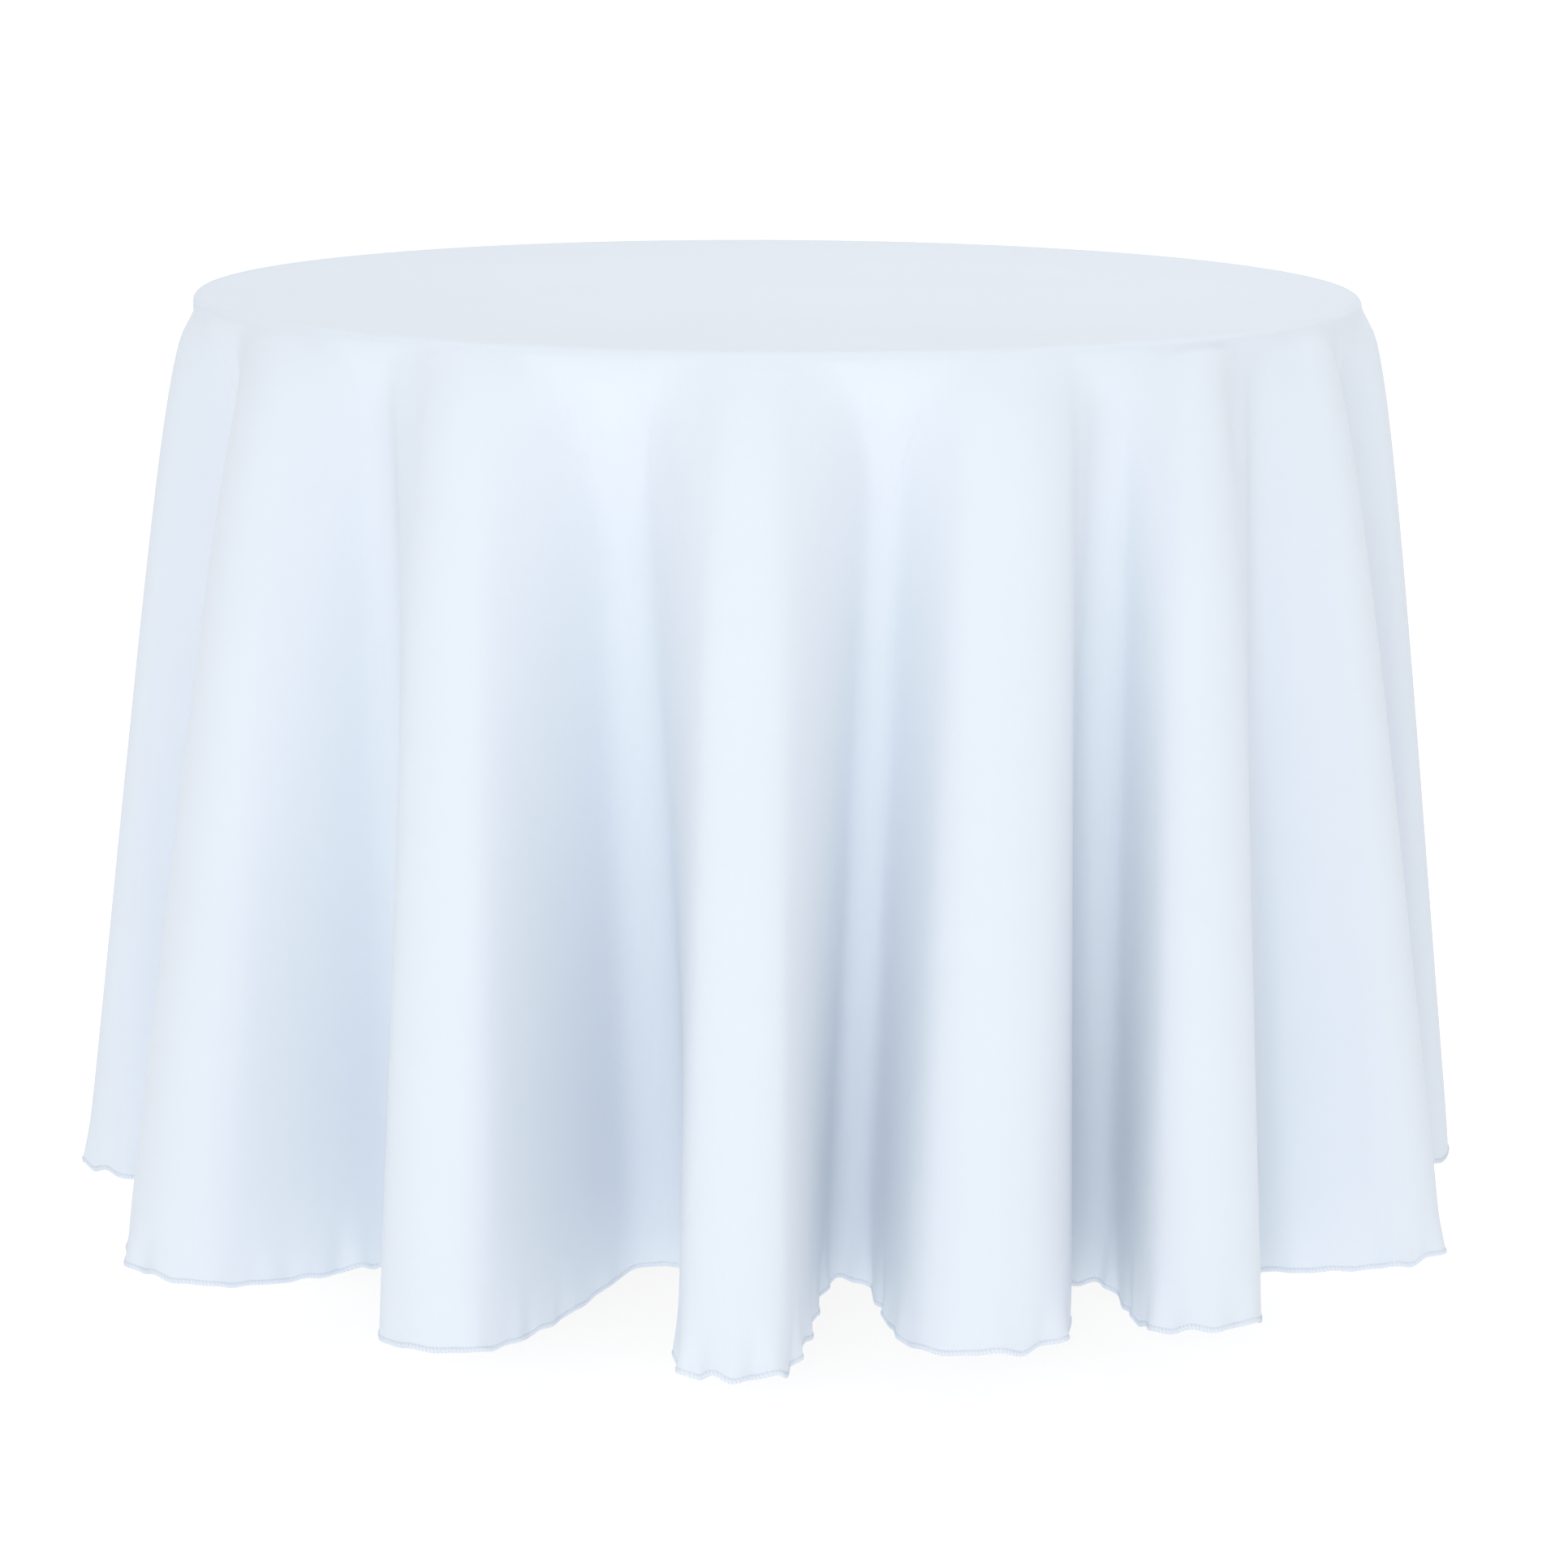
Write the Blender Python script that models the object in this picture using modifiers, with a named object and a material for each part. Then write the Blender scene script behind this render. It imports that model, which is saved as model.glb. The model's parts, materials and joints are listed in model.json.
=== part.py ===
"""A round tablecloth lying over a round folding table, with everything that the cloth hides.

The board stands level on two folding leg sets. In each set two leg tubes and a stretcher hang from a
pivot tube, and a brace of two links holds them upright. The left set is the wider one and its pivot is
the higher one, so that the right set folds inside and under it. The cloth lies loose on the board.

Origin: on the floor, under the middle of the board. +Z is up and -Y is the front. Metres.
"""

import math

import bmesh
import bpy
from mathutils import Vector

# The table.
BOARD_TOP = 0.760
BOARD_THICKNESS = 0.019
BOARD_BOTTOM = BOARD_TOP - BOARD_THICKNESS
TABLE_RADIUS = 0.4572  # outside of the edge moulding: a 36 inch table
MOULDING_WIDTH = 0.004
MOULDING_ROUND = 0.003
MOULDING_LIP = 0.001  # how far the moulding reaches below the board
TABLE_FACETS = 80
RUNNER_SIZE = (0.66, 0.020, 0.042)
RUNNER_Y = 0.226

# The cloth: a 90 inch round, so its drop is what is left beyond the table's edge.
CLOTH_RADIUS = 1.143
CLOTH_THICKNESS = 0.0007
CLOTH_GAP = 0.0006
DROP = CLOTH_RADIUS - TABLE_RADIUS
FLARE = 0.62  # power by which a fold grows down the drop
COLUMNS_PER_FOLD = 8
DROP_ROWS = (0.06, 0.20, 0.45, 0.72, 1.0)
EDGE_THREAD_RADIUS = 0.0012
# Each fold: its direction in degrees from the front, positive to the right, and how far its hem
# stands out past the table's edge.
FOLDS = (
    (-74, 0.112),
    (-49.5, 0.154),
    (-24, 0.152),
    (-2.6, 0.145),
    (17, 0.108),
    (32, 0.165),
    (52.5, 0.160),
    (78, 0.102),
    (101, 0.112),
    (124, 0.125),
    (147, 0.135),
    (170, 0.150),
    (193, 0.138),
    (217, 0.130),
    (240, 0.115),
    (263, 0.105),
)
LABEL_SIZE = (0.030, 0.0004, 0.045)
LABEL_FOLD = (170, 0.150)  # the fold that it is sewn into, as above
LABEL_INSET = 0.008

# The leg sets, each in its own frame: the origin on the pivot, +X inwards, Z up.
LEG_PIVOT_X = 0.300
LEG_SETS = {
    "left": {"pivot_z": 0.700, "half_width": 0.165, "turn": 0.0},
    "right": {"pivot_z": 0.666, "half_width": 0.125, "turn": math.pi},
}
TUBE_RADIUS = 0.0127
TUBE_WALL = 0.0012
STRETCHER_RADIUS = 0.011
STRETCHER_DROP = 0.200
PIVOT_OVERHANG = 0.018  # how far the pivot tube reaches past the leg tubes
PLUG_LENGTH = 0.015
PLUG_DEPTH = 0.001  # how deep the plug sits in the pivot tube's end
END_PLAY = 0.0005  # between the pivot tube's end and its bracket
PIN_RADIUS = 0.004
BRACKET_SIZE = (0.040, 0.028, 0.018)  # along, flange width, depth below the pivot
SHEET_STEEL = 0.003
FOOT_RADIUS = 0.0152
FOOT_HEIGHT = 0.035
FOOT_FLOOR = 0.005
FOOT_TAPER = 0.0008
FOOT_BEVEL = 0.002
ROUND_FACETS = 16
SMALL_FACETS = 12

# The brace: its two links are in line when the legs are down and lie back on each other when folded.
HANGER_X = 0.270  # from the leg pivot to the brace's fixed pin
BRACE_RISE = 0.022  # the brace's pins stand this far off the legs' plane
LINK_HALF_WIDTH = 0.010
BRACE_SPAN = math.hypot(HANGER_X - BRACE_RISE, STRETCHER_DROP + BRACE_RISE)
UPPER_LINK = (BRACE_SPAN + HANGER_X - STRETCHER_DROP) / 2
LOWER_LINK = BRACE_SPAN - UPPER_LINK
BRACE_ANGLE = math.atan2(STRETCHER_DROP + BRACE_RISE, HANGER_X - BRACE_RISE)
HANGER_HALF_PLATE = SHEET_STEEL / 2
LINK_GAP = 0.0005
RIVET_RADIUS = 0.003
HANGER_LENGTH = 0.090
HANGER_BOTTOM = 0.676
HANGER_FLANGE = 0.028
HANGER_SCREW_X = 0.030
CUTTER_LENGTH = 0.020  # of a drill that goes through sheet steel
CUTTER_MARGIN = 0.010  # how far a cutter reaches past what it cuts

# Screws that hold the brackets and the hanger to the board.
SCREW_RADIUS = 0.002
SCREW_HEAD_RADIUS = 0.004
SCREW_HEAD = 0.0025
SCREW_LENGTH = 0.014
SCREW_POINT = 0.003
SCREW_SPREAD = 0.011
SCREW_OUT = 0.017
CLEAR = 0.0003  # gap between touching pieces, and running clearance round a pin

LIE_ALONG_Y = (-math.pi / 2, 0.0, 0.0)


# Scene and materials


def clear_scene():
    for obj in list(bpy.data.objects):
        bpy.data.objects.remove(obj, do_unlink=True)


def new_collection(name):
    collection = bpy.data.collections.new(name)
    bpy.context.scene.collection.children.link(collection)
    return collection


def new_material(name, colour, roughness, metallic=0.0):
    material = bpy.data.materials.new(name)
    material.use_nodes = True
    shader = material.node_tree.nodes["Principled BSDF"]
    shader.inputs["Base Color"].default_value = (*colour, 1.0)
    shader.inputs["Roughness"].default_value = roughness
    shader.inputs["Metallic"].default_value = metallic
    return material


clear_scene()
PARTS = new_collection("draped_round_table")
CUTTERS = new_collection("cutters")
CUTTERS.hide_render = True
CLOTH = new_material("cloth", (0.80, 0.86, 0.94), 0.85)
LABEL = new_material("label", (0.86, 0.86, 0.84), 0.80)
PLYWOOD = new_material("plywood", (0.62, 0.44, 0.26), 0.55)
RUNNER_WOOD = new_material("runner_wood", (0.55, 0.38, 0.22), 0.65)
VINYL = new_material("vinyl", (0.10, 0.09, 0.08), 0.45)
FRAME_PAINT = new_material("frame_paint", (0.16, 0.17, 0.18), 0.45, 0.3)
ZINC = new_material("zinc", (0.62, 0.63, 0.65), 0.35, 1.0)
FOOT_PLASTIC = new_material("foot_plastic", (0.04, 0.04, 0.04), 0.60)


# Shapes


def add_object(name, data, material, location=(0, 0, 0), rotation=(0, 0, 0), parent=None):
    obj = bpy.data.objects.new(name, data)
    obj.location = location
    obj.rotation_euler = rotation
    obj.parent = parent
    if material:
        data.materials.append(material)
    PARTS.objects.link(obj)
    return obj


def add_empty(name, location, turn=0.0, parent=None):
    empty = bpy.data.objects.new(name, None)
    empty.location = location
    empty.rotation_euler = (0.0, 0.0, turn)
    empty.empty_display_size = 0.05
    empty.parent = parent
    PARTS.objects.link(empty)
    return empty


def round_a_hole(radius):
    """The corner radius of a faceted hole whose flats lie at this radius."""
    return radius / math.cos(math.pi / SMALL_FACETS)


def arc(centre, radius, start, end, steps):
    """Points of an arc, from one angle to another in degrees."""
    angles = [math.radians(start + (end - start) * i / steps) for i in range(steps + 1)]
    return [(centre[0] + radius * math.cos(a), centre[1] + radius * math.sin(a)) for a in angles]


def turned(name, profile, material, closed=False, facets=ROUND_FACETS, **place):
    """A turned piece. The profile's (radius, height) points run down its outer side."""
    mesh = bpy.data.meshes.new(name)
    edges = [(i, i + 1) for i in range(len(profile) - 1)]
    if closed:
        edges.append((len(profile) - 1, 0))
    mesh.from_pydata([(radius, 0.0, height) for radius, height in profile], edges, [])
    obj = add_object(name, mesh, material, **place)
    screw = obj.modifiers.new("turn", "SCREW")
    screw.steps = facets
    screw.render_steps = facets
    screw.use_merge_vertices = True
    screw.merge_threshold = 0.00005
    screw.use_smooth_shade = True
    return obj


def tube(name, length, radius, wall, material, **place):
    """A tube along its own Z, centred on its origin."""
    half = length / 2
    inner = radius - wall
    profile = [(inner, half), (radius, half), (radius, -half), (inner, -half)]
    return turned(name, profile, material, closed=True, **place)


def ring(name, length, radius, bore, material, **place):
    return tube(name, length, radius, radius - bore, material, facets=SMALL_FACETS, **place)


def rivet(name, shank, material, ends=("head", "head"), radius=RIVET_RADIUS, **place):
    """A rivet along its own Z: the shank starts at 0, and each end has a head or is flush."""
    head_radius = radius * 1.9
    head = radius * 0.7
    top = [(0.0, shank)]
    if ends[1] == "head":
        top = [(0.0, shank + head), (head_radius * 0.6, shank + head), (head_radius, shank)]
    bottom = [(0.0, 0.0)]
    if ends[0] == "head":
        bottom = [(head_radius, 0.0), (head_radius * 0.6, -head), (0.0, -head)]
    profile = top + [(radius, shank), (radius, 0.0)] + bottom
    return turned(name, profile, material, facets=SMALL_FACETS, **place)


def box(name, low, high, material, **place):
    """A box between two corners of its own frame."""
    mesh = bpy.data.meshes.new(name)
    shape = bmesh.new()
    bmesh.ops.create_cube(shape, size=1.0)
    size = Vector(high) - Vector(low)
    bmesh.ops.scale(shape, vec=size, verts=shape.verts)
    bmesh.ops.translate(shape, vec=(Vector(low) + Vector(high)) / 2, verts=shape.verts)
    shape.to_mesh(mesh)
    shape.free()
    return add_object(name, mesh, material, **place)


def cut(obj, cutter):
    """Takes the cutter's shape out of the object, and hides the cutter."""
    PARTS.objects.unlink(cutter)
    CUTTERS.objects.link(cutter)
    cutter.hide_render = True
    cutter.display_type = "WIRE"
    boolean = obj.modifiers.new(cutter.name, "BOOLEAN")
    boolean.operation = "DIFFERENCE"
    boolean.object = cutter


def drill(obj, name, radius, length, **place):
    """Cuts a round hole along the cutter's own Z, centred on its origin."""
    mesh = bpy.data.meshes.new(name)
    shape = bmesh.new()
    bmesh.ops.create_cone(
        shape,
        cap_ends=True,
        segments=SMALL_FACETS,
        radius1=round_a_hole(radius),
        radius2=round_a_hole(radius),
        depth=length,
    )
    shape.to_mesh(mesh)
    shape.free()
    cut(obj, add_object(name, mesh, None, **place))


def link_plate(name, length, radii, holes, thickness, material, **place):
    """A flat bar with two round ends and a hole in each, along its own X, from the first hole."""
    curve = bpy.data.curves.new(name, "CURVE")
    curve.dimensions = "2D"
    curve.fill_mode = "BOTH"
    curve.extrude = thickness / 2
    tangent = math.degrees(math.acos((radii[0] - radii[1]) / length))
    outline = arc((0, 0), radii[0], tangent, 360 - tangent, 8)
    outline += arc((length, 0), radii[1], -tangent, tangent, 8)
    rings = [outline]
    for centre, hole in ((0, holes[0]), (length, holes[1])):
        corner = round_a_hole(hole)
        rings.append(arc((centre, 0), corner, 0, 360 - 360 / SMALL_FACETS, SMALL_FACETS - 1))
    for points in rings:
        spline = curve.splines.new("POLY")
        spline.points.add(len(points) - 1)
        for point, (x, y) in zip(spline.points, points):
            point.co = (x, y, 0.0, 1.0)
        spline.use_cyclic_u = True
    return add_object(name, curve, material, **place)


# Table top


def make_board():
    outer = TABLE_RADIUS - MOULDING_WIDTH - CLEAR
    profile = [(0, BOARD_TOP), (outer, BOARD_TOP), (outer, BOARD_BOTTOM), (0, BOARD_BOTTOM)]
    return turned("table_board", profile, PLYWOOD, facets=TABLE_FACETS)


def make_moulding():
    inner = TABLE_RADIUS - MOULDING_WIDTH
    centre = TABLE_RADIUS - MOULDING_ROUND
    bottom = BOARD_BOTTOM - MOULDING_LIP
    profile = [(inner, BOARD_TOP)]
    profile += arc((centre, BOARD_TOP - MOULDING_ROUND), MOULDING_ROUND, 90, 0, 2)
    profile += arc((centre, bottom + MOULDING_ROUND), MOULDING_ROUND, 0, -90, 2)
    profile += [(inner, bottom)]
    turned("edge_moulding", profile, VINYL, closed=True, facets=TABLE_FACETS)


def make_runners():
    length, width, depth = RUNNER_SIZE
    top = BOARD_BOTTOM - CLEAR
    for name, side in (("runner_front", -1), ("runner_rear", 1)):
        obj = box(
            name,
            (-length / 2, -width / 2, -depth),
            (length / 2, width / 2, 0),
            RUNNER_WOOD,
            location=(0, side * RUNNER_Y, top),
        )
        bevel = obj.modifiers.new("rounded", "BEVEL")
        bevel.width = 0.003
        bevel.segments = 2


def make_screw(name, board, location, parent):
    """A screw up into the board, with its head under a steel flange, and its hole in the board."""
    tip = SCREW_LENGTH
    profile = [
        (0, tip),
        (SCREW_RADIUS, tip - SCREW_POINT),
        (SCREW_RADIUS, 0),
        (SCREW_HEAD_RADIUS, 0),
        (SCREW_HEAD_RADIUS, -SCREW_HEAD * 0.5),
        (SCREW_HEAD_RADIUS * 0.7, -SCREW_HEAD),
        (0, -SCREW_HEAD),
    ]
    turned(name, profile, ZINC, facets=SMALL_FACETS, location=location, parent=parent)
    drill(
        board,
        name + "_hole",
        SCREW_RADIUS + CLEAR,
        2 * (tip + CLEAR),
        location=location,
        parent=parent,
    )


def make_hanger(board):
    """The plate in the middle of the board that both braces hang from."""
    half = HANGER_LENGTH / 2
    top = BOARD_BOTTOM - CLEAR
    edge = HANGER_FLANGE
    hanger = box(
        "brace_hanger", (-half, -HANGER_HALF_PLATE, HANGER_BOTTOM), (half, edge, top), FRAME_PAINT
    )
    spare = box(
        "brace_hanger_spare",
        (-half - CUTTER_MARGIN, HANGER_HALF_PLATE, HANGER_BOTTOM - CUTTER_MARGIN),
        (half + CUTTER_MARGIN, edge + CUTTER_MARGIN, top - SHEET_STEEL),
        None,
    )
    cut(hanger, spare)
    for side, leg_set in LEG_SETS.items():
        out = (HANGER_X - LEG_PIVOT_X) * math.cos(leg_set["turn"])
        drill(
            hanger,
            f"brace_hanger_{side}_hole",
            PIN_RADIUS + CLEAR,
            CUTTER_LENGTH,
            location=(out, 0, leg_set["pivot_z"] + BRACE_RISE),
            rotation=LIE_ALONG_Y,
        )
        under = (math.copysign(HANGER_SCREW_X, out), SCREW_OUT, top - SHEET_STEEL - CLEAR)
        name = f"brace_hanger_{side}_slot"
        drill(hanger, name, SCREW_RADIUS + CLEAR, CUTTER_LENGTH, location=under)
        make_screw(f"{side}_hanger_screw", board, under, None)


# Leg sets


def facing(side, local_side):
    """front or rear, for one side of a leg set in its own frame."""
    return "front" if local_side * math.cos(LEG_SETS[side]["turn"]) < 0 else "rear"


def make_bracket(side, local_side, board, fixed):
    """The steel angle that carries one end of a pivot tube, with its pin and its two screws."""
    leg_set = LEG_SETS[side]
    where = f"{side}_{facing(side, local_side)}"
    along, flange, below = BRACKET_SIZE
    near = leg_set["half_width"] + PIVOT_OVERHANG + END_PLAY
    top = BOARD_BOTTOM - CLEAR - leg_set["pivot_z"]
    ys = sorted((local_side * near, local_side * (near + flange)))
    bracket = box(
        f"{where}_bracket",
        (-along / 2, ys[0], -below),
        (along / 2, ys[1], top),
        FRAME_PAINT,
        parent=fixed,
    )
    past = near + flange + CUTTER_MARGIN
    spare_ys = sorted((local_side * (near + SHEET_STEEL), local_side * past))
    spare = box(
        f"{where}_bracket_spare",
        (-along, spare_ys[0], -2 * below),
        (along, spare_ys[1], top - SHEET_STEEL),
        None,
        parent=fixed,
    )
    cut(bracket, spare)
    drill(
        bracket,
        f"{where}_bracket_bore",
        PIN_RADIUS + CLEAR,
        CUTTER_LENGTH,
        location=(0, local_side * near, 0),
        rotation=LIE_ALONG_Y,
        parent=fixed,
    )
    for number, x in enumerate((-SCREW_SPREAD, SCREW_SPREAD), start=1):
        under = (x, local_side * (near + SCREW_OUT), top - SHEET_STEEL - CLEAR)
        drill(
            bracket,
            f"{where}_bracket_slot_{number}",
            SCREW_RADIUS + CLEAR,
            CUTTER_LENGTH,
            location=under,
            parent=fixed,
        )
        make_screw(f"{where}_bracket_screw_{number}", board, under, fixed)
    shank = PLUG_LENGTH + PLUG_DEPTH + END_PLAY + SHEET_STEEL + CLEAR
    rivet(
        f"{where}_pivot_pin",
        shank,
        ZINC,
        ends=("flush", "head"),
        radius=PIN_RADIUS,
        location=(0, local_side * (near + SHEET_STEEL + CLEAR - shank), 0),
        rotation=(-local_side * math.pi / 2, 0, 0),
        parent=fixed,
    )


def make_leg_set(side, board):
    leg_set = LEG_SETS[side]
    turn = leg_set["turn"]
    half_width = leg_set["half_width"]
    pivot = (-LEG_PIVOT_X * math.cos(turn), 0, leg_set["pivot_z"])
    fixed = add_empty(f"{side}_pivot_place", pivot, turn)
    swing = add_empty(f"{side}_leg_axis", pivot, turn)
    pivot_half = half_width + PIVOT_OVERHANG
    tube(
        f"{side}_pivot_tube",
        2 * pivot_half,
        TUBE_RADIUS,
        TUBE_WALL,
        FRAME_PAINT,
        rotation=LIE_ALONG_Y,
        parent=swing,
    )
    tube(
        f"{side}_stretcher",
        2 * (half_width - TUBE_RADIUS - CLEAR),
        STRETCHER_RADIUS,
        TUBE_WALL,
        FRAME_PAINT,
        location=(0, 0, -STRETCHER_DROP),
        rotation=LIE_ALONG_Y,
        parent=swing,
    )
    leg_top = -TUBE_RADIUS - CLEAR
    leg_bottom = -leg_set["pivot_z"] + FOOT_FLOOR + CLEAR
    for local_side in (-1, 1):
        where = facing(side, local_side)
        y = local_side * half_width
        tube(
            f"{side}_leg_{where}",
            leg_top - leg_bottom,
            TUBE_RADIUS,
            TUBE_WALL,
            FRAME_PAINT,
            location=(0, y, (leg_top + leg_bottom) / 2),
            parent=swing,
        )
        make_foot(f"{side}_foot_{where}", (0, y, -leg_set["pivot_z"]), swing)
        ring(
            f"{side}_pivot_plug_{where}",
            PLUG_LENGTH,
            TUBE_RADIUS - TUBE_WALL - CLEAR,
            PIN_RADIUS + CLEAR,
            FOOT_PLASTIC,
            location=(0, local_side * (pivot_half - PLUG_DEPTH - PLUG_LENGTH / 2), 0),
            rotation=LIE_ALONG_Y,
            parent=swing,
        )
        make_bracket(side, local_side, board, fixed)
    make_brace(side, fixed, swing)


def make_foot(name, location, parent):
    """A plastic cup on the end of a leg tube, slightly tapered, with a flat base."""
    bore = TUBE_RADIUS + CLEAR
    profile = [
        (0, FOOT_FLOOR),
        (bore, FOOT_FLOOR),
        (bore, FOOT_HEIGHT),
        (FOOT_RADIUS - FOOT_TAPER, FOOT_HEIGHT),
        (FOOT_RADIUS, FOOT_HEIGHT / 4),
        (FOOT_RADIUS, FOOT_BEVEL),
        (FOOT_RADIUS - FOOT_BEVEL, 0),
        (0, 0),
    ]
    turned(name, profile, FOOT_PLASTIC, location=location, parent=parent)


def make_brace(side, fixed, swing):
    """Two flat links, side by side, with their pins. Y is across the links."""
    upper_y = HANGER_HALF_PLATE + LINK_GAP + SHEET_STEEL / 2
    lower_y = upper_y + SHEET_STEEL + LINK_GAP
    lug_y = lower_y + SHEET_STEEL + LINK_GAP
    hole = RIVET_RADIUS + CLEAR
    half = SHEET_STEEL / 2
    width = (LINK_HALF_WIDTH, LINK_HALF_WIDTH)

    hanger_pin = (HANGER_X, 0, BRACE_RISE)
    rivet(
        f"{side}_hanger_pin",
        upper_y + half + HANGER_HALF_PLATE + 2 * CLEAR,
        ZINC,
        radius=PIN_RADIUS,
        location=(HANGER_X, -HANGER_HALF_PLATE - CLEAR, BRACE_RISE),
        rotation=LIE_ALONG_Y,
        parent=fixed,
    )
    upper_axis = add_empty(f"{side}_upper_link_axis", hanger_pin, parent=fixed)
    upper_turn = math.pi - BRACE_ANGLE
    link_plate(
        f"{side}_upper_link",
        UPPER_LINK,
        width,
        (PIN_RADIUS + CLEAR, hole),
        SHEET_STEEL,
        FRAME_PAINT,
        location=(0, upper_y, 0),
        rotation=(math.pi / 2, upper_turn, 0),
        parent=upper_axis,
    )
    knee = Vector((-UPPER_LINK * math.cos(BRACE_ANGLE), 0, -UPPER_LINK * math.sin(BRACE_ANGLE)))
    rivet(
        f"{side}_knee_rivet_inner",
        SHEET_STEEL + CLEAR,
        ZINC,
        ends=("head", "flush"),
        location=knee + Vector((0, upper_y - half - CLEAR, 0)),
        rotation=LIE_ALONG_Y,
        parent=upper_axis,
    )

    lug_pin = (BRACE_RISE, 0, -STRETCHER_DROP)
    lower_axis = add_empty(f"{side}_lower_link_axis", lug_pin, parent=swing)
    link_plate(
        f"{side}_lower_link",
        LOWER_LINK,
        width,
        (hole, hole),
        SHEET_STEEL,
        FRAME_PAINT,
        location=(0, lower_y, 0),
        rotation=(math.pi / 2, -BRACE_ANGLE, 0),
        parent=lower_axis,
    )
    knee = Vector((LOWER_LINK * math.cos(BRACE_ANGLE), 0, LOWER_LINK * math.sin(BRACE_ANGLE)))
    rivet(
        f"{side}_knee_rivet_outer",
        SHEET_STEEL + CLEAR,
        ZINC,
        ends=("flush", "head"),
        location=knee + Vector((0, lower_y - half, 0)),
        rotation=LIE_ALONG_Y,
        parent=lower_axis,
    )
    link_plate(
        f"{side}_brace_lug",
        BRACE_RISE,
        (STRETCHER_RADIUS + 0.003, LINK_HALF_WIDTH - 0.001),
        (STRETCHER_RADIUS + CLEAR, hole),
        SHEET_STEEL,
        FRAME_PAINT,
        location=(0, lug_y, -STRETCHER_DROP),
        rotation=(math.pi / 2, 0, 0),
        parent=swing,
    )
    rivet(
        f"{side}_lug_pin",
        2 * SHEET_STEEL + LINK_GAP + CLEAR,
        ZINC,
        ends=("flush", "head"),
        location=(BRACE_RISE, lower_y - half, -STRETCHER_DROP),
        rotation=LIE_ALONG_Y,
        parent=swing,
    )


# Cloth


def fold_columns():
    """(direction, reach) of each column of points round the cloth, fold by fold."""
    columns = []
    for index, (start, reach) in enumerate(FOLDS):
        following, next_reach = FOLDS[(index + 1) % len(FOLDS)]
        span = (following - start) % 360
        for step in range(COLUMNS_PER_FOLD):
            share = step / COLUMNS_PER_FOLD
            wave = 0.5 + 0.5 * math.cos(2 * math.pi * share)
            wave = wave * wave * (3 - 2 * wave)
            columns.append((start + span * share, wave * (reach if share < 0.5 else next_reach)))
    return columns


def drop_point(reach, share):
    """(radius, height) of a point on the hanging cloth, at a share of the way down its drop."""
    rim_radius = TABLE_RADIUS + CLOTH_GAP
    rim_height = BOARD_TOP - MOULDING_ROUND
    fall = math.sqrt(DROP * DROP - reach * reach)
    return rim_radius + reach * share**FLARE, rim_height - fall * share


def at(direction, radius, height):
    angle = math.radians(direction)
    return Vector((radius * math.sin(angle), -radius * math.cos(angle), height))


def make_cloth():
    """The cloth's plain solid: a flat top, a rounded rim and a drop that stands out in folds."""
    columns = fold_columns()
    rim_centre = (TABLE_RADIUS - MOULDING_ROUND, BOARD_TOP - MOULDING_ROUND)
    rim = arc(rim_centre, MOULDING_ROUND + CLOTH_GAP, 90, 0, 2)
    top = rim[0][1]
    shape = bmesh.new()
    middle = shape.verts.new((0, 0, top))
    rows = [[shape.verts.new(at(a, TABLE_RADIUS / 2, top)) for a, _ in columns]]
    for radius, height in rim:
        rows.append([shape.verts.new(at(a, radius, height)) for a, _ in columns])
    for share in DROP_ROWS:
        rows.append([shape.verts.new(at(a, *drop_point(reach, share))) for a, reach in columns])
    count = len(columns)
    for i in range(count):
        shape.faces.new((middle, rows[0][i], rows[0][(i + 1) % count]))
    for upper, lower in zip(rows, rows[1:]):
        for i in range(count):
            j = (i + 1) % count
            shape.faces.new((upper[i], lower[i], lower[j], upper[j]))
    mesh = bpy.data.meshes.new("tablecloth")
    shape.to_mesh(mesh)
    shape.free()
    lift = add_empty("cloth_lift", (0, 0, 0))
    cloth = add_object("tablecloth", mesh, CLOTH, parent=lift)
    mesh.shade_smooth()
    solidify = cloth.modifiers.new("thickness", "SOLIDIFY")
    solidify.thickness = CLOTH_THICKNESS
    solidify.offset = 1.0
    solidify.use_even_offset = True
    make_overlocked_edge(columns, lift)
    make_label(lift)


def make_overlocked_edge(columns, lift):
    """The thread bound over the cut edge, as a plain cord all round the hem."""
    curve = bpy.data.curves.new("overlocked_edge", "CURVE")
    curve.dimensions = "3D"
    curve.bevel_depth = EDGE_THREAD_RADIUS
    curve.bevel_resolution = 0
    curve.use_fill_caps = True
    spline = curve.splines.new("POLY")
    spline.points.add(len(columns) - 1)
    for point, (direction, reach) in zip(spline.points, columns):
        radius, height = drop_point(reach, 1.0)
        below = height - EDGE_THREAD_RADIUS - CLOTH_THICKNESS
        point.co = (*at(direction, radius + CLOTH_THICKNESS / 2, below), 1.0)
    spline.use_cyclic_u = True
    add_object("overlocked_edge", curve, CLOTH, parent=lift)


def make_label(lift):
    """A plain sewn-in label, lying along the inside of a fold at the back."""
    width, thickness, height = LABEL_SIZE
    direction, reach = LABEL_FOLD
    radius, hem = drop_point(reach, 1.0)
    upper_radius, upper = drop_point(reach, 1.0 - height / DROP)
    lean = math.atan2(radius - upper_radius, upper - hem)
    box(
        "care_label",
        (-width / 2, -thickness / 2, 0),
        (width / 2, thickness / 2, height),
        LABEL,
        location=at(direction, radius - LABEL_INSET, hem),
        rotation=(-lean, 0, math.radians(direction)),
        parent=lift,
    )


table_board = make_board()
make_moulding()
make_runners()
make_hanger(table_board)
for set_name in LEG_SETS:
    make_leg_set(set_name, table_board)
make_cloth()
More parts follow.
